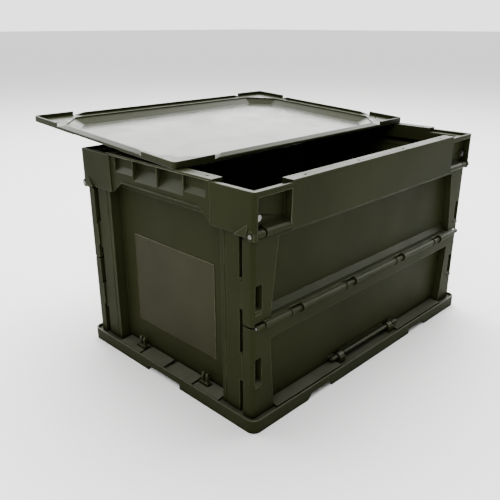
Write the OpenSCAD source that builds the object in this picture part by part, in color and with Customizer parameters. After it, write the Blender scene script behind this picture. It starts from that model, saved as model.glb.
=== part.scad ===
// Folding storage crate: a moulded base tray and top frame joined by folding walls,
// with a loose stacking lid laid askew across the mouth.
// Long walls face -Y (front) and +Y (back), end walls face -X (left) and +X (right).
// The origin is the centre of the base's underside. Millimetres, +Z up.

/* [Base tray] */
// Outside length of the base lip
base_l = 530; // [524:1:540]
// Outside width of the base lip
base_w = 366; // [360:1:376]
// Height of the lip round the base
lip_z = 19; // [18:0.5:20]
// Corner radius of the base
base_r = 12; // [8:1:16]

/* [Top frame] */
// How far the frame stands inside the base lip on every side
frame_inset = 5; // [4:0.5:6]
// Height of the stacking ledge, the crate's own top
rim_z = 316; // [314:0.5:318]
// Height of the frame's lower edge on the long sides
band_z = 256; // [255:0.5:257]

/* [Walls] */
// How far the long walls stand inside the frame
wall_inset = 5; // [4:0.5:5]
// Thickness of the long walls over their rails
side_t = 16.5; // [15:0.5:17]
// Thickness of the end walls over their rails
end_t = 20; // [18:0.5:20]
// Thickness of every recessed field
field_t = 2.5; // [2:0.5:3]
// Height of the fold line between the lower and upper long walls
fold_z = 144; // [142:1:146]

/* [Hinges] */
// Height of the end walls' hinge line
end_hinge_z = 280; // [279:0.5:281]
// Radius of the end walls' hinge pins
end_pin_r = 3; // [2.5:0.1:3.2]
// Radius of the steel rods in the long walls
rod_r = 1.8; // [1.5:0.1:2]
// Radial running clearance of every pin
pin_gap = 0.06; // [0.03:0.01:0.1]

/* [Lid] */
// Length of the lid
lid_l = 522; // [516:1:526]
// Width of the lid
lid_w = 354; // [348:1:356]
// How far the lid is pushed back across the crate
lid_back = 134; // [130:1:138]
// Tilt of the lid where it rests on the back ledge
lid_tilt = 3.4; // [3.4:0.1:3.6]
// Height of the lid's border above the crate's base
lid_z = 330; // [330:0.5:336]

/* [Hidden] */
$fn = 48;

olive = [0.235, 0.235, 0.175];
dark_olive = [0.2, 0.2, 0.15];
steel = [0.7, 0.7, 0.68];
card = [0.3, 0.285, 0.235];

eps = 0.5;                           // how far a cutter runs past the face it cuts
skin = 3;                            // wall of the base and the frame

// Plan half-sizes, from the base inwards
base_x = base_l / 2;
base_y = base_w / 2;
frame_x = base_x - frame_inset;
frame_y = base_y - frame_inset;
side_out = frame_y - wall_inset;     // outer face of the long walls
side_in = side_out - side_t;         // inner face of the long walls
side_x = frame_x - 2.5;              // half-length of the long walls
end_out = frame_x - wall_inset;      // outer face of the end walls
end_in = end_out - end_t;            // inner face of the end walls
end_y = side_in - 1.5;               // half-width of the end walls
mouth_x = frame_x - 18;              // half-length of the mouth
mouth_y = frame_y - 18;              // half-width of the mouth

// Base levels
foot_notch = 8;                      // height of the cut-outs under the lip
floor_z = 8;                         // underside of the floor
floor_t = 2.5;
seat_z = lip_z - 4;                  // ledge that the walls stand on
wall_foot = seat_z + 0.5;            // foot of the long walls
end_foot = seat_z + 1.5;             // foot of the end walls, clear of the swing

// Frame levels
ledge_t = 3;
corner_drop = 3;                     // thin corner rim below the ledge
corner_r = 5;                        // rounding of the frame's upright corners
well_z = 306;                        // roof of the corner pockets
pocket_y = mouth_y + 3;              // inner face of the pockets' back walls
side_top = band_z - 1;               // top of the long walls
handle_z = 276.5;                    // lower edge of the handle band
handle_back = 3;                     // handle band behind the corner blocks
scoop_depth = 10;
cell_depth = 5;                      // shallow cells beside the handle scoops
scoop_foot = 284.5;                  // where a scoop's slope meets the band's face
block_z = 260;                       // lower edge of the corner blocks
block_y = 104;                       // inner edge of the corner blocks
handle_y = 81;                       // half-width of the handle band's lower edge
step_x = 195;                        // half-length of the long ledges
step_y = 109;                        // half-width of the end ledges
cheek_x = frame_x - 5.5;             // inner face of the corner cheeks
barrel_x = 238.6;                    // outer end of the frame's hinge barrels
boss_t = 3.5;                        // how far the swing pins' bosses stand into the pockets
skirt_t = 2.5;
skirt_z = 293;                       // foot of the skirts over the end walls

// Hinge lines
end_hinge_x = end_out - 9;
top_hinge_r = 6;
top_hinge_y = frame_y - top_hinge_r + 0.6;
top_hinge_z = band_z + top_hinge_r - 0.4;
fold_y = side_out + 1.5;
fold_r = 5;
fold_neck = 3.6;                     // radius of the lower wall's short knuckles
base_hinge_y = side_out - 7;
base_hinge_z = 26;
fold_gap = 1.2;                      // half the seam at the fold
knuckle_gap = 1.5;
frame_pin_r = 2.2;
frame_head_r = 2.9;                  // head of the pin at the frame's corner
boss_r = 6.5;                        // boss round the end wall's pin
swing_head_r = 4.1;                  // head of the end wall's pin
base_rod_x = 88;                     // half-lengths of the long walls' rods
fold_rod_x = 253;

// Long wall fields
field_top_x = 213;                   // half-length of the upper field at its top
field_mid_x = 226;                   // half-length of both fields at the fold
field_low_x = 218;                   // half-length of the lower field at its foot
upper_ledge_z = 149;                 // ledge under the upper field
lower_head_z = 121;                  // head of the lower field
slot_x = [241, 252.5];
slots = [[68, 100], [168, 198]];     // heights of the locking slots, lower and upper wall
side_r = 6;                          // rounding of the long walls' upright corners
lug_out = 2.8;                       // locking lugs beside the slots
fold_knuckles = [-246, -180, -64, 64, 180, 246];

// End wall field
rail_y = 117;                        // inner edge of the end wall's rails
rail_top = 270;
label_y = 86;
label_zs = [59, 197];
pin_window = [137, 146];             // gap in the hinge barrel where its steel pin shows
edge_grooves = [[0, 63], [103, 163], [204, 300]];  // open stretches of the upright seams
groove_w = 6.5;

latch_x = end_out - 10;              // back of the base's latches
latch_top = 35;
latch_ys = [61, 83];                 // window in the base plates round a latch

// Lid levels, from the top of its border
lid_t = 2.5;
lid_step = [20, -2.5];               // inner edge of the border and the level below its step
lid_plate = [36, -10.5];             // edge of the plate and its level
lid_cut = 42;                        // cut across the border's inner corners
lid_bar = [8, 4.5];                  // width and height of the raised bars along the sides
lid_r = 5;                           // corner radius
lid_corner = 6;                      // height of the raised corners
lid_leg = 68;                        // length of each raised corner's legs
lid_ramp = 20;                       // sloping end of each bar
lid_skirt = -3.2;                    // foot of the skirt under the border
lid_rib_z = -15.1;                   // foot of the ribs under the plate

// A box from its low corner to its high corner
module span(low, high) translate(low) cube(high - low);

// Copies mirrored to both ends, to both long sides, or to all four corners
module both_x() for (m = [0, 1]) mirror([m, 0, 0]) children();
module both_y() for (m = [0, 1]) mirror([0, m, 0]) children();
module corners() both_x() both_y() children();

// A rectangle with rounded corners, from its half-sizes
module rounded(x, y, r) {
    square([2 * x, 2 * (y - r)], center = true);
    square([2 * (x - r), 2 * y], center = true);
    corners() translate([x - r, y - r]) circle(r);
}

// A rectangle with cut corners, from its half-sizes
module cut_corner(x, y, c) polygon([
    [c - x, -y], [x - c, -y], [x, c - y], [x, y - c],
    [x - c, y], [c - x, y], [-x, y - c], [-x, c - y]
]);

// A rod along X or Y between two places on its line
module rod_x(x0, x1, y, z, r) translate([x0, y, z]) rotate([0, 90, 0]) cylinder(h = x1 - x0, r = r);
module rod_y(y0, y1, x, z, r) translate([x, y0, z]) rotate([-90, 0, 0]) cylinder(h = y1 - y0, r = r);

// A YZ outline drawn along X, and an XZ outline drawn along Y
module along_x(x0, x1) translate([x0, 0, 0]) rotate([90, 0, 90]) linear_extrude(x1 - x0) children();
module along_y(y0, y1) translate([0, y1, 0]) rotate([90, 0, 0]) linear_extrude(y1 - y0) children();

// ---------------------------------------------------------------- base tray

// Cut-outs under the lip, for straps and for lifting
module foot_notches() {
    both_x() span([base_x - 12, -36, -eps], [base_x + eps, 36, foot_notch]);
    both_y() both_x() along_y(base_y - 12, base_y + eps)
        polygon([[105, -eps], [158, -eps], [150, foot_notch], [105, foot_notch]]);
}

// Sloping plates behind the lip that keep dirt off the end walls' feet, open round the latches
module end_plates() both_x() difference() {
    for (plate = [[-112, -62], [-58, -4], [4, 58], [62, 112]])
        along_y(plate[0], plate[1]) polygon([
            [end_in + 5, seat_z - 1], [base_x - 4, seat_z - 1],
            [base_x - 4, lip_z - 1.5], [end_in + 5, lip_z + 1.5]
        ]);
    both_y() span([latch_x - 2, latch_ys[0], seat_z - 0.5], [latch_x + 7, latch_ys[1], lip_z + 5]);
}

// The same plates behind the lip on the long sides
module side_plates() corners() along_x(76, field_low_x - 2) polygon([
    [side_in + 4, seat_z - 1], [base_y - 5, seat_z - 1],
    [base_y - 5, lip_z - 0.5], [side_in + 4, lip_z + 1.5]
]);

// Ears that carry the lower walls' rods
module base_ears() corners() difference() {
    union() {
        span([60, base_hinge_y - 2.5, seat_z - 1], [71, base_hinge_y + 7, base_hinge_z]);
        rod_x(60, 71, base_hinge_y, base_hinge_z, 4.4);
    }
    rod_x(55, 75, base_hinge_y, base_hinge_z, rod_r + pin_gap);
}

module base_tray() color(olive) {
    difference() {
        union() {
            linear_extrude(lip_z) difference() {
                rounded(base_x, base_y, base_r);
                rounded(base_x - skirt_t, base_y - skirt_t, base_r - skirt_t);
            }
            translate([0, 0, seat_z - 3]) linear_extrude(3) difference() {
                rounded(base_x - 1, base_y - 1, base_r - 1);
                square([2 * end_in - 6, 2 * side_in - 4], center = true);
            }
            translate([0, 0, floor_z]) linear_extrude(floor_t)
                square([2 * end_in - 2, 2 * side_in], center = true);
            translate([0, 0, floor_z]) linear_extrude(seat_z - floor_z - 1) difference() {
                square([2 * end_in - 2, 2 * side_in], center = true);
                square([2 * end_in - 6, 2 * side_in - 4], center = true);
            }
            // Stiffening ribs and the resting pad under the floor
            for (x = [-200:50:200]) span([x - 1, -side_in, 3], [x + 1, side_in, floor_z + 1]);
            for (y = [-120:40:120]) span([1 - end_in, y - 1, 3], [end_in - 1, y + 1, floor_z + 1]);
            linear_extrude(floor_z + 1) rounded(40, 30, 6);
            corners() translate([end_in - 30, side_in - 25, 0]) linear_extrude(floor_z + 1)
                rounded(24, 18, 6);
        }
        foot_notches();
    }
    end_plates();
    side_plates();
    base_ears();
}

// ---------------------------------------------------------------- top frame

// Outline of an end face: deep corner blocks and the higher handle band between them
module end_outline() polygon([
    [-frame_y, block_z], [-block_y, block_z], [-handle_y, handle_z], [handle_y, handle_z],
    [block_y, block_z], [frame_y, block_z], [frame_y, rim_z], [-frame_y, rim_z]
]);

// Finger scoop open to the ledge above: a flat back, then a slope out to the band's face
module scoop(y0, y1, depth, foot) let (face = frame_x - handle_back) along_y(y0, y1) polygon([
    [face - depth, rim_z - ledge_t + 0.2], [face - depth, foot + 1.55 * depth],
    [face, foot], [face + handle_back + eps, foot - 5], [face + handle_back + eps, rim_z - ledge_t + 0.2]
]);

// One end of the frame, at +X
module frame_end() {
    difference() {
        union() {
            along_x(frame_x - skin, frame_x) end_outline();
            along_x(frame_x - handle_back - skin, frame_x - 1) end_outline();
            // Back of the handle scoops, round the hinge barrel of the end wall
            along_y(5 - block_y, block_y - 5) let (face = frame_x - handle_back) polygon([
                [mouth_x + skirt_t, rim_z - 1], [mouth_x + skirt_t, scoop_foot + 13],
                [face - 3.5, scoop_foot - 2.5], [frame_x - 1, scoop_foot - 2.5], [frame_x - 1, rim_z - 1]
            ]);
        }
        // The handle band stands behind the blocks' faces
        span([frame_x - handle_back, -block_y, block_z - eps],
             [frame_x + eps, block_y, rim_z - ledge_t + 0.2]);
        both_y() {
            scoop(1.5, 52, scoop_depth, scoop_foot);
            scoop(54, 94, cell_depth, scoop_foot + 6);
            // Corner rims are a little lower than the ledge
            span([frame_x - 12, step_y, rim_z - corner_drop], [frame_x + eps, frame_y + eps, rim_z + eps]);
        }
    }
    // Lip along the foot of the handle band
    span([frame_x - handle_back - 1, -handle_y, handle_z], [frame_x - 1.2, handle_y, handle_z + 1.3]);
    difference() {
        union() {
            // Ledge, its closed ends and the inner skirt
            span([mouth_x, -step_y, rim_z - ledge_t], [frame_x - 1, step_y, rim_z]);
            both_y() span([mouth_x, step_y - skirt_t, well_z], [frame_x - 1, step_y, rim_z - 1]);
            span([mouth_x, -step_y, skirt_z], [mouth_x + skirt_t, step_y, rim_z - 1]);
            both_y() {
                span([mouth_x, step_y - 1, skirt_z], [mouth_x + skirt_t, pocket_y + 1, well_z + skin]);
                // Floor of the corner well and the cheek beside the pocket
                span([mouth_x, step_y - 1, well_z], [frame_x - 1, frame_y - 1, well_z + skin]);
                span([cheek_x, mouth_y, band_z], [frame_x - 1, frame_y, well_z + skin]);
            }
        }
        both_y() translate([frame_x - 9, 92, rim_z - 10]) cylinder(h = 11, r = 2);
    }
}

// Long side of the frame, at -Y: an outer wall with a pocket near each end
module frame_side() {
    difference() {
        span([1 - frame_x, -frame_y, band_z], [frame_x - 1, skin - frame_y, rim_z - 1]);
        both_x() {
            span([step_x + 2, -frame_y - eps, band_z - eps], [cheek_x, 1 - side_in, well_z]);
            span([step_x, -frame_y - eps, rim_z - corner_drop], [frame_x + eps, 0, rim_z + eps]);
        }
    }
    difference() {
        union() {
            span([-step_x, -frame_y, rim_z - ledge_t], [step_x, -mouth_y, rim_z]);
            both_x() span([step_x - skirt_t, -frame_y + 1, well_z], [step_x, -mouth_y, rim_z - 1]);
            span([-step_x, -mouth_y - skirt_t, band_z + 1], [step_x, -mouth_y, rim_z - 1]);
            both_x() {
                // Back wall, inner wall and roof of the pocket
                span([step_x - 1, -pocket_y - skin, band_z + 1], [frame_x - 1, -pocket_y, well_z + skin]);
                span([step_x - 0.5, -frame_y + 1, band_z + 1], [step_x + 2, -mouth_y, well_z + skin]);
                span([step_x - 1, -frame_y + 1, well_z], [frame_x - 1, -mouth_y, well_z + skin]);
                // Boss round the end wall's pin
                rod_y(-pocket_y - skin - boss_t, -pocket_y - 1, end_hinge_x, end_hinge_z, boss_r);
                // Hinge barrel along the pocket's foot and the floor that slopes up behind it
                rod_x(step_x, barrel_x - 0.6, -top_hinge_y, top_hinge_z, top_hinge_r);
                along_x(step_x, barrel_x - 0.6) polygon([
                    [-top_hinge_y, band_z + 0.5], [-top_hinge_y, top_hinge_z + top_hinge_r - 0.3],
                    [-pocket_y - 1, top_hinge_z + top_hinge_r + 4], [-pocket_y - 1, band_z + 0.5]
                ]);
            }
        }
        both_x() rod_y(-frame_y, 0, end_hinge_x, end_hinge_z, end_pin_r + pin_gap);
        for (x = [-165, -55, 55, 165])
            translate([x, -frame_y + 8, rim_z - 10]) cylinder(h = 11, r = 2);
    }
}

// Pin boss and the tilted facet beside it, at the foot of a corner block
module corner_boss() {
    rod_x(cheek_x, frame_x + 1, top_hinge_y, top_hinge_z, top_hinge_r);
    intersection() {
        along_x(frame_x - 1, frame_x + 4)
            polygon([[148, block_z], [167, block_z], [167, block_z + 15]]);
        along_y(140, 175) polygon([
            [frame_x - 2, block_z - 1], [frame_x + 3.6, block_z - 1], [frame_x - 0.6, block_z + 17]
        ]);
    }
}

// What rounding an upright corner takes away
module corner_waste() difference() {
    span([frame_x - corner_r, frame_y - corner_r, block_z - 20], [frame_x + 5, frame_y + 5, rim_z + 5]);
    translate([frame_x - corner_r, frame_y - corner_r, block_z - 25]) cylinder(h = 100, r = corner_r);
}

module top_frame() color(olive) difference() {
    union() {
        difference() {
            union() {
                both_x() frame_end();
                both_y() frame_side();
            }
            corners() corner_waste();
        }
        corners() corner_boss();
    }
    // Bores of the long walls' pins through the cheeks and barrels
    corners() rod_x(step_x - 5, frame_x + 2, top_hinge_y, top_hinge_z, frame_pin_r + pin_gap);
}

// ---------------------------------------------------------------- long walls

// Barrel along the fold between two places, with the web that ties it to its wall
module fold_barrel(x0, x1, r, up) {
    rod_x(x0, x1, -fold_y, fold_z, r);
    span([x0, -side_out - 1, up ? fold_z : fold_z - r], [x1, -side_out + 4, up ? fold_z + r : fold_z]);
}

// The lower wall's short knuckles, widened by a gap to cut their room from the upper wall
module low_knuckles(r, gap) for (x = fold_knuckles) let (half = abs(x) > 200 ? 6 : 10)
    fold_barrel(x - half - gap, x + half + gap, r, false);

// The upper wall's long knuckles, between the short ones
module high_knuckles(r, gap) for (i = [0:4]) let (
    start = fold_knuckles[i] + (i == 0 ? 6 : 10) + knuckle_gap,
    stop = fold_knuckles[i + 1] - (i == 4 ? 6 : 10) - knuckle_gap
) fold_barrel(start - gap, stop + gap, r, true);

// Slots at both ends of a long wall, then its lugs and small catch bars
module slot_cuts(zs) both_x() {
    span([slot_x[0], -side_out - eps, zs[0]], [slot_x[1], -side_in - 4, zs[1]]);
    along_x(slot_x[0], slot_x[1])
        polygon([
            [-side_out - eps, zs[0] - 3.5], [-side_out + 6, zs[0] + eps], [-side_out - eps, zs[0] + eps]
        ]);
    // Rounding down the upright corner
    difference() {
        span([side_x - side_r, -side_out - eps, 0], [side_x + eps, side_r - side_out, rim_z]);
        translate([side_x - side_r, side_r - side_out, -1]) cylinder(h = rim_z + 2, r = side_r);
    }
}
module lock_lugs(zs) both_x() {
    span([side_x - 11, -side_in - 1, zs[0] - 1], [side_x, lug_out - side_in, zs[1] + 2]);
    span([slot_x[0] + 1, -side_out - 1.6, zs[0] - 8], [slot_x[1], 1 - side_out, zs[0] - 5]);
}

module upper_wall() color(dark_olive) difference() {
    union() {
        difference() {
            span([-side_x, -side_out, fold_z + fold_gap], [side_x, -side_in, side_top]);
            along_y(-side_out - eps, -side_in - field_t) polygon([
                [-field_mid_x, upper_ledge_z], [field_mid_x, upper_ledge_z],
                [field_top_x, side_top - 3], [-field_top_x, side_top - 3]
            ]);
            slot_cuts(slots[1]);
            low_knuckles(fold_r + 0.5, knuckle_gap);
        }
        // Soft fillet where the field meets its ledge
        along_x(-field_mid_x + 1, field_mid_x - 1) polygon([
            [-side_in - field_t - 0.5, 159], [-side_out + 8.5, 151], [-side_out + 2, upper_ledge_z + 0.4],
            [-side_out + 2, upper_ledge_z - 1], [-side_in - field_t + 1, upper_ledge_z - 1],
            [-side_in - field_t + 1, 159]
        ]);
        lock_lugs(slots[1]);
        high_knuckles(fold_r, 0);
        // Knuckle on each frame pin
        both_x() {
            rod_x(barrel_x + 2.5, cheek_x - 2, -top_hinge_y, top_hinge_z, top_hinge_r - 0.5);
            span([barrel_x + 2.5, 0.5 - side_out, side_top - 1], [cheek_x - 2, 5 - top_hinge_y, top_hinge_z]);
        }
    }
    rod_x(-frame_x, frame_x, -fold_y, fold_z, rod_r + pin_gap);
    rod_x(-frame_x, frame_x, -top_hinge_y, top_hinge_z, frame_pin_r + pin_gap);
}

module lower_wall() color(dark_olive) difference() {
    union() {
        difference() {
            span([-side_x, -side_out, wall_foot], [side_x, -side_in, fold_z - fold_gap]);
            along_y(-side_out - eps, -side_in - field_t) polygon([
                [-field_low_x, wall_foot - eps], [field_low_x, wall_foot - eps],
                [field_mid_x, lower_head_z], [-field_mid_x, lower_head_z]
            ]);
            slot_cuts(slots[0]);
            high_knuckles(fold_r + 0.5, 0.3);
        }
        lock_lugs(slots[0]);
        low_knuckles(fold_neck, 0);
        // Barrel on the base rod, between the ears, and its webs
        rod_x(-57, 57, -base_hinge_y, base_hinge_z, 3.5);
        span([-57, -base_hinge_y, base_hinge_z - 2], [57, -side_in - 1, base_hinge_z + 2]);
        both_x() {
            rod_x(74, 86, -base_hinge_y, base_hinge_z, 3.5);
            span([74, -base_hinge_y, base_hinge_z - 2], [86, -side_in - 1, base_hinge_z + 2]);
        }
    }
    rod_x(-frame_x, frame_x, -fold_y, fold_z, rod_r + pin_gap);
    rod_x(-100, 100, -base_hinge_y, base_hinge_z, rod_r + pin_gap);
}

module front_lower_wall() lower_wall();
module front_upper_wall() upper_wall();
module back_lower_wall() mirror([0, 1, 0]) lower_wall();
module back_upper_wall() mirror([0, 1, 0]) upper_wall();

// ---------------------------------------------------------------- end walls

// Stretch of an end wall's hinge barrel with the slanting web that carries it
module hinge_barrel(y0, y1) {
    rod_y(y0, y1, end_hinge_x, end_hinge_z, 6);
    along_y(y0, y1) polygon([
        [end_in, rail_top - 8], [end_in + field_t + 1, rail_top - 8], [end_hinge_x, end_hinge_z - 5],
        [end_hinge_x - 5, end_hinge_z - 1], [end_in, rail_top - 0.3]
    ]);
}

// End wall at +X: two hollow rails, a thin field and the hinge barrel along the top
module end_wall() color(dark_olive) difference() {
    union() {
        difference() {
            span([end_in, -end_y, end_foot], [end_out, end_y, rail_top]);
            // Field recess, open at the foot and at the head
            span([end_in + field_t, -rail_y, end_foot - eps], [end_out + eps, rail_y, rail_top + eps]);
            both_y() {
                // Hollows of the rails, steps down them and notches for the locking lugs
                span([end_in + 2.5, rail_y + 2.5, end_foot - eps], [end_out - 3.5, end_y - 10.5, rail_top - 14]);
                span([end_out - 1, rail_y + 6, end_foot - eps], [end_out + eps, rail_y + 9, rail_top + eps]);
                for (zs = slots)
                    span([end_in - eps, end_y - 2.2, zs[0] - 4], [end_out + eps, end_y + eps, zs[1] + 5]);
                for (zs = edge_grooves)
                    span([end_out - 7, end_y - groove_w, zs[0]], [end_out + eps, end_y + eps, zs[1]]);
            }
            // The head of the wall stands back behind the frame's blocks
            span([end_out - 2, -end_y - eps, block_z - 1], [end_out + eps, end_y + eps, rail_top + eps]);
        }
        hinge_barrel(-pin_window[0], pin_window[0]);
        both_y() hinge_barrel(pin_window[1], end_y);
    }
    both_y() rod_y(end_y - 22, end_y + eps, end_hinge_x, end_hinge_z, end_pin_r + pin_gap);
}

module left_end_wall() mirror([1, 0, 0]) end_wall();
module right_end_wall() end_wall();

// Smooth plate for a label or card on the end wall's field
module label_plate() color(card)
    span([end_in + field_t, -label_y, label_zs[0]], [end_in + field_t + 0.9, label_y, label_zs[1]]);
module left_label_plate() mirror([1, 0, 0]) label_plate();
module right_label_plate() label_plate();

// ---------------------------------------------------------------- pins and rods

module base_rod() color(steel) rod_x(-base_rod_x, base_rod_x, -base_hinge_y, base_hinge_z, rod_r);
module front_base_rod() base_rod();
module back_base_rod() mirror([0, 1, 0]) base_rod();

module fold_rod() color(steel) rod_x(-fold_rod_x, fold_rod_x, -fold_y, fold_z, rod_r);
module front_fold_rod() fold_rod();
module back_fold_rod() mirror([0, 1, 0]) fold_rod();

// Pin of a long wall's upper hinge at the (+X, +Y) corner, its head against the corner boss
module frame_pin() color(steel) {
    rod_x(step_x + 3, frame_x + 1.5, top_hinge_y, top_hinge_z, frame_pin_r);
    rod_x(frame_x + 1.1, frame_x + 1.9, top_hinge_y, top_hinge_z, frame_head_r);
}
module front_left_frame_pin() mirror([1, 0, 0]) mirror([0, 1, 0]) frame_pin();
module front_right_frame_pin() mirror([0, 1, 0]) frame_pin();
module back_left_frame_pin() mirror([1, 0, 0]) frame_pin();
module back_right_frame_pin() frame_pin();

// Pin of an end wall's hinge at the (+X, +Y) corner, its head inside the pocket
module swing_pin() color(steel) let (boss_y = pocket_y + skin + boss_t) {
    rod_y(end_y - 20, boss_y + 1, end_hinge_x, end_hinge_z, end_pin_r);
    rod_y(boss_y + 0.1, boss_y + 2.5, end_hinge_x, end_hinge_z, swing_head_r);
}
module left_front_swing_pin() mirror([1, 0, 0]) mirror([0, 1, 0]) swing_pin();
module left_back_swing_pin() mirror([1, 0, 0]) swing_pin();
module right_front_swing_pin() mirror([0, 1, 0]) swing_pin();
module right_back_swing_pin() swing_pin();

// Pair of two-pronged latches that stand on the base before the end wall at +X
module base_latches() color(olive) both_y() {
    span([latch_x, 63, seat_z + 0.2], [latch_x + 6, 81, lip_z + 3]);
    for (y = [66, 74]) along_y(y, y + 4) polygon([
        [latch_x, lip_z + 2], [latch_x + 4, lip_z + 2], [latch_x + 4, latch_top - 4],
        [latch_x + 2, latch_top], [latch_x - 1.5, latch_top], [latch_x - 1.5, latch_top - 3],
        [latch_x, latch_top - 4]
    ]);
}
module left_base_latches() mirror([1, 0, 0]) base_latches();
module right_base_latches() base_latches();

// ---------------------------------------------------------------- lid

// Bar along +X with a sloping end at each corner: outer slope, upright inner face
module lid_edge(out, reach) intersection() {
    along_y(-reach, reach)
        polygon([[out - lid_bar[0], -1], [out, -1], [out, 1], [out - lid_bar[0], lid_bar[1]]]);
    along_x(0, out + eps) polygon([
        [1 - reach, -1 - eps], [reach - 1, -1 - eps], [reach - 1, -0.4], [reach - lid_ramp, lid_bar[1] + eps],
        [lid_ramp - reach, lid_bar[1] + eps], [1 - reach, -0.4]
    ]);
}

// Upright thin wall round the outline between two levels
module lid_wall(low, high) translate([0, 0, low]) linear_extrude(high - low) difference() {
    rounded(lid_l / 2, lid_w / 2, lid_r);
    rounded(lid_l / 2 - lid_t, lid_w / 2 - lid_t, lid_r - lid_t);
}

// Keeps what lies within two reaches of the lid's corners
module near_corners(along, across) intersection() {
    children();
    corners() span([lid_l / 2 - along, lid_w / 2 - across, -40], [lid_l, lid_w, 40]);
}

// Long ridge of tapering section, its half-width narrowing by a run from one level down to another
module taper(half, low, high, run) along_y(-lid_l, lid_l)
    polygon([[-half, high], [run - half, low], [half - run, low], [half, high]]);

// Tapering well with cut corners, from its half-sizes and cut at the top
module well(x, y, cut, low, high, run) let (d = (x + y - cut) / sqrt(2)) intersection() {
    taper(x, low, high, run);
    rotate([0, 0, 90]) taper(y, low, high, run);
    rotate([0, 0, 45]) taper(d, low, high, run);
    rotate([0, 0, -45]) taper(d, low, high, run);
}

// Lid in its own place: the top of its border is z = 0
module lid_shape() let (
    x = lid_l / 2 - lid_step[0], y = lid_w / 2 - lid_step[0], run = lid_plate[0] - lid_step[0]
) {
    difference() {
        union() {
            translate([0, 0, -lid_t]) linear_extrude(lid_t) rounded(lid_l / 2, lid_w / 2, lid_r);
            translate([0, 0, lid_step[1] - lid_t]) linear_extrude(lid_t + 0.5)
                cut_corner(x + 3, y + 3, lid_cut + 1);
            well(x - 0.5, y - 0.5, lid_cut, lid_plate[1] - lid_t, lid_step[1] - 1, run - 2);
        }
        translate([0, 0, lid_step[1]]) linear_extrude(10) cut_corner(x, y, lid_cut);
        well(x + 0.5, y + 0.5, lid_cut, lid_plate[1], lid_step[1] + 0.5, run + 1);
        // Small drain holes along the short sides
        both_x() for (hole = [-132, -96, -10, 96, 132])
            translate([lid_l / 2 - 15, hole, -10]) cylinder(h = 20, r = 2.2);
    }
    both_x() lid_edge(lid_l / 2, lid_w / 2 - lid_leg);
    both_y() rotate([0, 0, 90]) lid_edge(lid_w / 2, lid_l / 2 - lid_leg);
    near_corners(lid_leg, lid_leg) lid_wall(-lid_t, lid_corner);
    near_corners(lid_leg + 120, 118) lid_wall(lid_skirt, -1);
    // Stiffening ribs under the plate
    translate([0, 0, lid_rib_z]) linear_extrude(lid_plate[1] - lid_t - lid_rib_z + 0.5) {
        for (rib = [-120, -60, 0, 26, 60, 120]) translate([0, rib]) square([420, 2], center = true);
        for (rib = [-210, -140, -70, 0, 70, 140, 210]) translate([rib, 0]) square([2, 242], center = true);
    }
}

module lid() color(olive) translate([0, lid_back, lid_z]) rotate([lid_tilt, 0, 0]) lid_shape();

// ---------------------------------------------------------------- nodes

base_tray();
top_frame();
front_lower_wall();
front_upper_wall();
back_lower_wall();
back_upper_wall();
left_end_wall();
right_end_wall();
front_base_rod();
back_base_rod();
front_fold_rod();
back_fold_rod();
front_left_frame_pin();
front_right_frame_pin();
back_left_frame_pin();
back_right_frame_pin();
left_front_swing_pin();
left_back_swing_pin();
right_front_swing_pin();
right_back_swing_pin();
left_label_plate();
right_label_plate();
left_base_latches();
right_base_latches();
lid();
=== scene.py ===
"""Looks of the folding crate: moulded olive plastic, steel pins, a pale floor and soft studio light."""

import math

import bmesh
import bpy
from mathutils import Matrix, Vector


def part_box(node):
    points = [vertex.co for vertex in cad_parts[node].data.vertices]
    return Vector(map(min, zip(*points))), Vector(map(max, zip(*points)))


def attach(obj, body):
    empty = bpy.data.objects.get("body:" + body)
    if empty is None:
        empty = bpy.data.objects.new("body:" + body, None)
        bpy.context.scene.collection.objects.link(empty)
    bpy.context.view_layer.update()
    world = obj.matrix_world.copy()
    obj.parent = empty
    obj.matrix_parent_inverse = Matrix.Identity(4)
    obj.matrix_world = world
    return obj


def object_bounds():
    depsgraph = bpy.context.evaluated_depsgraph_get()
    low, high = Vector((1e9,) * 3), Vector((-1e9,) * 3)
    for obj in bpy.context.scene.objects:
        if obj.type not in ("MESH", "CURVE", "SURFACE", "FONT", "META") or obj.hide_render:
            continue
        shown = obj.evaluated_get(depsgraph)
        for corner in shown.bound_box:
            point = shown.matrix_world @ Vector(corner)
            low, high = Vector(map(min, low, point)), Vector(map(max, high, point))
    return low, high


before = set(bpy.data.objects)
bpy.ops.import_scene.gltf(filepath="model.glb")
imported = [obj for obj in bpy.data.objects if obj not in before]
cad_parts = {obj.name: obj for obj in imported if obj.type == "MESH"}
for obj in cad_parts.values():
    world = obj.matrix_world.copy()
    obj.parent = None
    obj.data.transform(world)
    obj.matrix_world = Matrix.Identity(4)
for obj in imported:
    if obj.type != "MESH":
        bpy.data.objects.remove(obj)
cad_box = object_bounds()

# ------------------------------------------------------------------ sizes, in metres
CAMERA = (-0.702, -0.606, 0.483)
CAMERA_TARGET = (-0.1018, -0.0159, 0.161)
LENS_MM = 42.6
FLOOR_HALF = 40.0
BEVEL = 0.0006                    # softened edge of the mouldings
PIN_BEVEL = 0.0003
WELD = 0.00001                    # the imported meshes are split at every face
KNUCKLES = (-0.18, -0.064, 0.064, 0.18)  # middles of the short knuckles of each fold, along X
COLLAR_R = 0.0064
COLLAR_HOLE = 0.0045
COLLAR_W = 0.0014
COLLAR_GAP = 0.0108               # from a short knuckle's middle to the collar beside it
RING_SIDES = 32
BORDER = (0.032, 0.036)           # the lid's dull border ends and its polished plate starts
EDGE_R = 0.0012                   # reach of the paler edges: rubbed plastic plus a painted highlight
CORNER_SHADE_REACH = 0.010                   # painted shade: corners and grooves narrower than this are darkened
WAVE = 0.0004                     # slow waviness of the moulded faces
STEEL_GRAIN = 0.00004

# The studio, as factors of its brightness
BACK = (0.66, 0.68, 0.32)         # from the crate towards the bright side of the studio
HORIZON = 0.45                    # at floor level, against higher up
ROOF = 0.15                       # overhead

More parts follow.
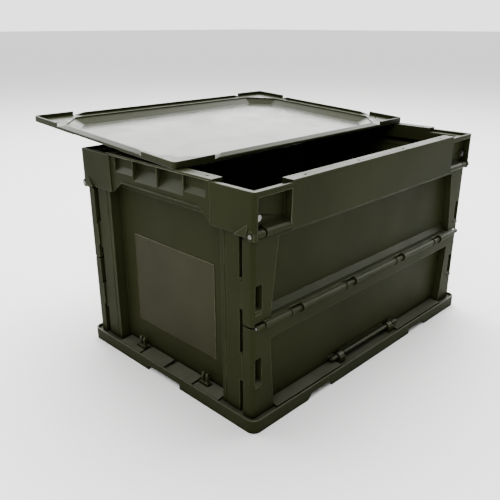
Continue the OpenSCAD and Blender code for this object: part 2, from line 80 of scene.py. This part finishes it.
# Noise scales, per metre
CLOUDS = 7.0
WAVES = 14.0
POLISH = 18.0
DUSTING = 25.0
SCUFFS = 30.0
WEAR = 45.0
STEEL_POLISH = 220.0
STEEL_STAINS = 300.0
STEEL_PITS = 900.0
PEBBLES = 1100.0
SPECKS = 1500.0

# Colours
WHITE = (1.0, 1.0, 1.0, 1.0)
PALE = (0.9, 0.9, 0.89, 1.0)
OLIVE = (0.0163, 0.0182, 0.0072)
OLIVE_WALL = (0.0163, 0.0179, 0.0072)
OLIVE_LABEL = (0.0262, 0.0258, 0.0140)
TINT = (0.84, 0.87, 0.68, 1.0)    # the plastic's own colour shows in its dull shine
TINT_LID = (0.97, 0.98, 0.92, 1.0)
DUST = (0.075, 0.073, 0.055, 1.0)
STEEL = (0.13, 0.13, 0.125)

MOULDINGS = {
    "base_tray": "tray", "top_frame": "shell", "lid": "lid",
    "front_lower_wall": "wall", "front_upper_wall": "wall",
    "back_lower_wall": "wall", "back_upper_wall": "wall",
    "left_end_wall": "wall", "right_end_wall": "wall",
    "left_label_plate": "label", "right_label_plate": "label",
    "left_base_latches": "shell", "right_base_latches": "shell",
}


# ------------------------------------------------------------------ camera, floor and light

def look_at(obj, place, target):
    obj.location = place
    obj.rotation_euler = (Vector(target) - Vector(place)).to_track_quat("-Z", "Y").to_euler()


def add_camera():
    data = bpy.data.cameras.new("camera")
    data.sensor_width = 36.0
    data.lens = LENS_MM
    data.clip_end = 60.0
    camera = bpy.data.objects.new("camera", data)
    bpy.context.scene.collection.objects.link(camera)
    look_at(camera, CAMERA, CAMERA_TARGET)
    bpy.context.scene.camera = camera


def add_area(name, place, target, size, power):
    """A square soft light that neither the camera nor a reflection sees."""
    data = bpy.data.lights.new(name, "AREA")
    data.size = size
    data.energy = power
    light = bpy.data.objects.new(name, data)
    bpy.context.scene.collection.objects.link(light)
    look_at(light, place, target)
    light.visible_camera = False
    light.visible_glossy = False


def add_world(front, back):
    """A studio that is dim behind the camera and bright behind the crate, as a lit white sweep is."""
    world = bpy.data.worlds.new("studio")
    world.use_nodes = True
    nodes = Nodes(world.node_tree)
    height = nodes.parts("Generated")["Z"]
    towards = nodes.dot(nodes.coords.outputs["Generated"], BACK)
    strength = nodes.range(towards, -0.1, 0.75, front, back, smooth=True)
    strength = nodes.math("MULTIPLY", strength, nodes.range(height, 0.03, 0.2, HORIZON, 1.0))
    strength = nodes.math("MULTIPLY", strength, nodes.range(height, 0.5, 0.8, 1.0, ROOF))
    shader = world.node_tree.nodes["Background"]
    shader.inputs["Color"].default_value = WHITE
    nodes.link(strength, shader.inputs["Strength"])
    bpy.context.scene.world = world


def add_floor():
    low = cad_box[0][2]
    mesh = bpy.data.meshes.new("floor")
    s = FLOOR_HALF
    mesh.from_pydata([(-s, -s, low), (s, -s, low), (s, s, low), (-s, s, low)], [], [(0, 1, 2, 3)])
    floor = bpy.data.objects.new("floor", mesh)
    bpy.context.scene.collection.objects.link(floor)
    mat, shader = new_material("pale_floor")
    shader.inputs["Base Color"].default_value = PALE
    shader.inputs["Roughness"].default_value = 0.9
    shader.inputs["Specular IOR Level"].default_value = 0.1
    mesh.materials.append(mat)


# ------------------------------------------------------------------ materials

def new_material(name):
    mat = bpy.data.materials.new(name)
    mat.use_nodes = True
    tree = mat.node_tree
    tree.nodes.clear()
    out = tree.nodes.new("ShaderNodeOutputMaterial")
    shader = tree.nodes.new("ShaderNodeBsdfPrincipled")
    tree.links.new(shader.outputs["BSDF"], out.inputs["Surface"])
    return mat, shader


class Nodes:
    """Short calls for building the node tree of a material or of the world."""

    def __init__(self, tree):
        self.tree = tree
        self.coords = self.tree.nodes.new("ShaderNodeTexCoord")
        self.place = self.coords.outputs["Object"]

    def link(self, source, target):
        self.tree.links.new(source, target)

    def parts(self, output):
        """X, Y and Z of one output of the coordinates."""
        node = self.tree.nodes.new("ShaderNodeSeparateXYZ")
        self.link(self.coords.outputs[output], node.inputs["Vector"])
        return node.outputs

    def dot(self, vector, other):
        node = self.tree.nodes.new("ShaderNodeVectorMath")
        node.operation = "DOT_PRODUCT"
        self.link(vector, node.inputs[0])
        if isinstance(other, tuple):
            node.inputs[1].default_value = other
        else:
            self.link(other, node.inputs[1])
        return node.outputs["Value"]

    def noise(self, scale, detail=3.0, roughness=0.55, stretch=None):
        place = self.place
        if stretch:
            mapping = self.tree.nodes.new("ShaderNodeMapping")
            mapping.inputs["Scale"].default_value = stretch
            self.link(place, mapping.inputs["Vector"])
            place = mapping.outputs["Vector"]
        node = self.tree.nodes.new("ShaderNodeTexNoise")
        node.inputs["Scale"].default_value = scale
        node.inputs["Detail"].default_value = detail
        node.inputs["Roughness"].default_value = roughness
        self.link(place, node.inputs["Vector"])
        return node.outputs["Fac"]

    def cells(self, scale):
        node = self.tree.nodes.new("ShaderNodeTexVoronoi")
        node.inputs["Scale"].default_value = scale
        self.link(self.place, node.inputs["Vector"])
        return node.outputs["Distance"]

    def ramp(self, value, stops):
        node = self.tree.nodes.new("ShaderNodeValToRGB")
        ramp = node.color_ramp
        ramp.elements[0].position, ramp.elements[0].color = stops[0]
        ramp.elements[1].position, ramp.elements[1].color = stops[-1]
        for position, colour in stops[1:-1]:
            ramp.elements.new(position).color = colour
        self.link(value, node.inputs["Fac"])
        return node.outputs["Color"]

    def range(self, value, low, high, to_low, to_high, smooth=False):
        node = self.tree.nodes.new("ShaderNodeMapRange")
        if smooth:
            node.interpolation_type = "SMOOTHSTEP"
        for name, number in zip(("From Min", "From Max", "To Min", "To Max"), (low, high, to_low, to_high)):
            node.inputs[name].default_value = number
        self.link(value, node.inputs["Value"])
        return node.outputs["Result"]

    def math(self, operation, *values):
        node = self.tree.nodes.new("ShaderNodeMath")
        node.operation = operation
        for socket, value in zip(node.inputs, values):
            if isinstance(value, (int, float)):
                socket.default_value = value
            else:
                self.link(value, socket)
        return node.outputs[0]

    def mix(self, factor, a, b):
        node = self.tree.nodes.new("ShaderNodeMix")
        node.data_type = "RGBA"
        self.link(factor, node.inputs["Factor"])
        for socket, value in ((node.inputs[6], a), (node.inputs[7], b)):
            if isinstance(value, tuple):
                socket.default_value = value
            else:
                self.link(value, socket)
        return node.outputs[2]

    def bump(self, height, distance, strength=1.0, normal=None):
        node = self.tree.nodes.new("ShaderNodeBump")
        node.inputs["Distance"].default_value = distance
        node.inputs["Strength"].default_value = strength
        self.link(height, node.inputs["Height"])
        if normal is not None:
            self.link(normal, node.inputs["Normal"])
        return node.outputs["Normal"]

    def upward(self, low, high):
        """Low on upright and hanging faces, high on faces that look up, in the piece's own frame."""
        return self.range(self.parts("Normal")["Z"], 0.1, 0.75, low, high)

    def inside(self, node, low, high):
        """Zero by the sides of a CAD node's box and one well inside it, seen from above."""
        corner, far_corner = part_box(node)
        parts = self.parts("Generated")
        gaps = []
        for axis, size in zip("XY", far_corner - corner):
            away = self.math("ABSOLUTE", self.math("SUBTRACT", parts[axis], 0.5))
            gaps.append(self.math("MULTIPLY", self.math("SUBTRACT", 0.5, away), size))
        return self.range(self.math("MINIMUM", *gaps), low, high, 0.0, 1.0)

    def corners(self, distance, low):
        """One on open faces, falling to low in corners and grooves narrower than the distance: the mask of
        the painted shade.
        """
        node = self.tree.nodes.new("ShaderNodeAmbientOcclusion")
        node.samples = 8
        node.inputs["Distance"].default_value = distance
        return self.range(node.outputs["AO"], 0.3, 0.9, low, 1.0)

    def edges(self, radius):
        """About one along edges, falling to zero a radius away."""
        bevel = self.tree.nodes.new("ShaderNodeBevel")
        bevel.samples = 4
        bevel.inputs["Radius"].default_value = radius
        geometry = self.tree.nodes.new("ShaderNodeNewGeometry")
        turn = self.dot(bevel.outputs["Normal"], geometry.outputs["Normal"])
        return self.range(turn, 0.98, 0.75, 0.0, 1.0)


def shade(colour, factor):
    return tuple(min(c * factor, 1.0) for c in colour) + (1.0,)


def plastic_tone(nodes, colour, scuff, edge, wear_and_highlight, dust):
    """Cloudy, specked and scuffed colour, paler under dust and along the edges, where rubbing and a painted
    highlight share one mark.
    """
    tone = nodes.ramp(nodes.noise(CLOUDS, 5.0), [(0.3, shade(colour, 0.8)), (0.7, shade(colour, 1.2))])
    specks = nodes.range(nodes.noise(SPECKS, 2.0), 0.55, 0.75, 0.0, 0.25)
    tone = nodes.mix(specks, tone, shade(colour, 1.5))
    tone = nodes.mix(scuff, tone, shade(colour, 1.45))
    # paler along the edges: partly rubbed plastic, partly a painted highlight
    tone = nodes.mix(nodes.math("MULTIPLY", edge, 0.8), tone, shade(colour, wear_and_highlight))
    if dust:
        patches = nodes.range(nodes.noise(DUSTING, 5.0), 0.3, 0.7, 0.5, 1.0)
        tone = nodes.mix(nodes.math("MULTIPLY", nodes.upward(0.0, dust), patches), tone, DUST)
    return tone


def moulded_plastic(name, colour, roughness, grain, gloss=(0.02, 0.28), wear_and_highlight=5.0, framed=False, dust=0.0):
    """Moulded plastic with a pebbled grain, paler edges that are partly rubbed and partly a painted
    highlight, painted shade in corners and grooves, and glossier upward faces.
    """
    mat, shader = new_material(name)
    nodes = Nodes(mat.node_tree)
    scuffs = nodes.noise(SCUFFS, 6.0, 0.7, stretch=(1.0, 1.0, 5.0))
    scuff = nodes.range(scuffs, 0.55, 0.85, 0.0, 0.3)
    worn = nodes.range(nodes.noise(WEAR), 0.35, 0.65, 0.3, 1.0)
    # the edge mask stands for rubbing and for a painted highlight alike
    edge = nodes.math("MULTIPLY", nodes.edges(EDGE_R), worn)
    # painted shade: corners and grooves go dark in colour and dull in sheen
    painted_corner_shade = nodes.corners(CORNER_SHADE_REACH, 0.35)
    tone = plastic_tone(nodes, colour, scuff, edge, wear_and_highlight, dust)
    nodes.link(nodes.mix(painted_corner_shade, shade(colour, 0.25), tone), shader.inputs["Base Color"])
    rough = nodes.range(nodes.noise(POLISH, 4.0), 0.3, 0.7, roughness - 0.05, roughness + 0.06)
    rough = nodes.math("ADD", rough, nodes.math("MULTIPLY", scuff, 0.06))
    sheen = nodes.math("ADD", nodes.upward(*gloss), nodes.math("MULTIPLY", edge, 0.8))
    sheen = nodes.math("MULTIPLY", sheen, painted_corner_shade)
    if framed:
        plate = nodes.inside("lid", *BORDER)
        sheen = nodes.math("MULTIPLY", sheen, nodes.range(plate, 0.0, 1.0, 0.8, 1.0))
        rough = nodes.math("ADD", rough, nodes.range(plate, 0.0, 1.0, 0.14, 0.0))
    shader.inputs["Specular Tint"].default_value = TINT_LID if framed else TINT
    nodes.link(rough, shader.inputs["Roughness"])
    nodes.link(sheen, shader.inputs["Specular IOR Level"])
    pebble = nodes.bump(nodes.cells(PEBBLES), grain)
    nodes.link(nodes.bump(nodes.noise(WAVES, 2.0), WAVE, 0.25, pebble), shader.inputs["Normal"])
    return mat


def bright_steel():
    """Cut steel wire, stained and a little pitted."""
    mat, shader = new_material("bright_steel")
    nodes = Nodes(mat.node_tree)
    tone = nodes.ramp(nodes.noise(STEEL_STAINS, 4.0), [(0.3, shade(STEEL, 0.7)), (0.65, shade(STEEL, 1.15))])
    nodes.link(tone, shader.inputs["Base Color"])
    shader.inputs["Metallic"].default_value = 1.0
    rough = nodes.range(nodes.noise(STEEL_POLISH, 3.0), 0.3, 0.7, 0.28, 0.42)
    nodes.link(rough, shader.inputs["Roughness"])
    nodes.link(nodes.bump(nodes.noise(STEEL_PITS, 2.0), STEEL_GRAIN), shader.inputs["Normal"])
    return mat


# ------------------------------------------------------------------ the carried-over nodes

def dress(obj, mat):
    obj.data.materials.clear()
    obj.data.materials.append(mat)


def soften(obj, width):
    """Joins the split faces and rounds every sharp edge."""
    weld = obj.modifiers.new("weld", "WELD")
    weld.merge_threshold = WELD
    bevel = obj.modifiers.new("edges", "BEVEL")
    bevel.width = width
    bevel.segments = 2
    bevel.limit_method = "ANGLE"
    bevel.angle_limit = math.radians(30)
    bevel.use_clamp_overlap = False
    smooth = obj.modifiers.new("shading", "WEIGHTED_NORMAL")
    smooth.keep_sharp = True


def make_materials():
    return {
        "shell": moulded_plastic("frame_plastic", OLIVE, 0.42, 0.00005),
        "tray": moulded_plastic("tray_plastic", OLIVE, 0.46, 0.00006, dust=0.75),
        "lid": moulded_plastic("lid_plastic", OLIVE, 0.19, 0.00003, (0.05, 0.30), framed=True),
        "wall": moulded_plastic("wall_plastic", OLIVE_WALL, 0.45, 0.00006),
        # the label's edges are lifted furthest, as a painted highlight along its top edge
        "label": moulded_plastic("label_plastic", OLIVE_LABEL, 0.36, 0.00002, (0.02, 1.0), wear_and_highlight=9.0),
        "steel": bright_steel(),
    }


def dress_nodes(mats):
    for name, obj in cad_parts.items():
        dress(obj, mats[MOULDINGS.get(name, "steel")])
        soften(obj, BEVEL if name in MOULDINGS else PIN_BEVEL)


# ------------------------------------------------------------------ detail pieces

def ring(bm, centre, radius, hole, width):
    """A flat collar round a line along X."""
    turns = [2 * math.pi * i / RING_SIDES for i in range(RING_SIDES)]
    loops = []
    for r, x in ((radius, -width / 2), (radius, width / 2), (hole, width / 2), (hole, -width / 2)):
        points = [centre + Vector((x, r * math.cos(t), r * math.sin(t))) for t in turns]
        loops.append([bm.verts.new(point) for point in points])
    for first, second in zip(loops, loops[1:] + loops[:1]):
        for i in range(RING_SIDES):
            j = (i + 1) % RING_SIDES
            bm.faces.new((first[i], first[j], second[j], second[i]))


def add_knuckle_collars(mats):
    """Raised collars on both sides of each short knuckle along the folds."""
    for side in ("front", "back"):
        low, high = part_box(side + "_fold_rod")
        line = (low + high) / 2
        bm = bmesh.new()
        for x in KNUCKLES:
            for offset in (-COLLAR_GAP, COLLAR_GAP):
                ring(bm, Vector((x + offset, line.y, line.z)), COLLAR_R, COLLAR_HOLE, COLLAR_W)
        bmesh.ops.recalc_face_normals(bm, faces=bm.faces)
        mesh = bpy.data.meshes.new(side + "_knuckle_collars")
        bm.to_mesh(mesh)
        bm.free()
        piece = bpy.data.objects.new(side + "_knuckle_collars", mesh)
        bpy.context.scene.collection.objects.link(piece)
        dress(piece, mats["wall"])
        soften(piece, PIN_BEVEL)
        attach(piece, "crate")


add_camera()
add_world(front=0.42, back=5.6)
add_floor()
add_area("top_soft", place=(0.8, 0.8, 2.6), target=(0.0, 0.0, 0.0), size=2.4, power=230.0)
add_area("front_fill", place=(-1.6, -0.9, 2.1), target=(0.0, 0.0, 0.1), size=1.4, power=52.0)
materials = make_materials()
dress_nodes(materials)
add_knuckle_collars(materials)
